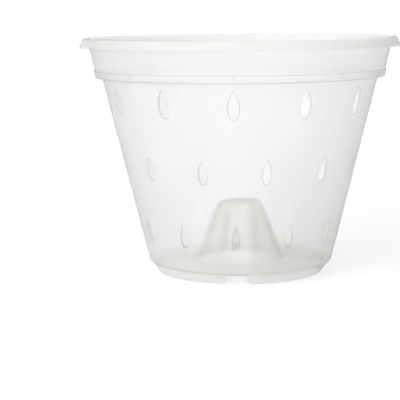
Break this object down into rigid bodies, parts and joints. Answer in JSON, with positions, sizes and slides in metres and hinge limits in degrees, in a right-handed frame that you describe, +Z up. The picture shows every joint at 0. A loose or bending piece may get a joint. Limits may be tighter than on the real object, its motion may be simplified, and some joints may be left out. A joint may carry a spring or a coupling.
{
  "type": "orchid pot",
  "caption": "Round tapered orchid pot in frosted clear plastic with rows of teardrop air slots, a turned-down lip, a stacking step, a notched foot and a raised air cone.",
  "frame": {"origin": "centre of the foot ring, on the surface that the pot stands on", "axes": "+Z up along the pot's axis, front towards -Y through a foot notch and a column of slots"},
  "size_m": [0.198, 0.198, 0.145],
  "materials": {
    "frosted_plastic": "frosted translucent polypropylene, as moulded"
  },
  "bodies": {
    "root": {"rim_lip": "frosted_plastic", "collar_band": "frosted_plastic", "stacking_ledge": "frosted_plastic", "stacking_lugs": "frosted_plastic", "slotted_wall": "frosted_plastic", "heel_ring": "frosted_plastic", "base_floor": "frosted_plastic", "foot_segments": "frosted_plastic", "air_cone": "frosted_plastic", "cone_ribs": "frosted_plastic", "cone_cap": "frosted_plastic"}
  },
  "joints": []
}
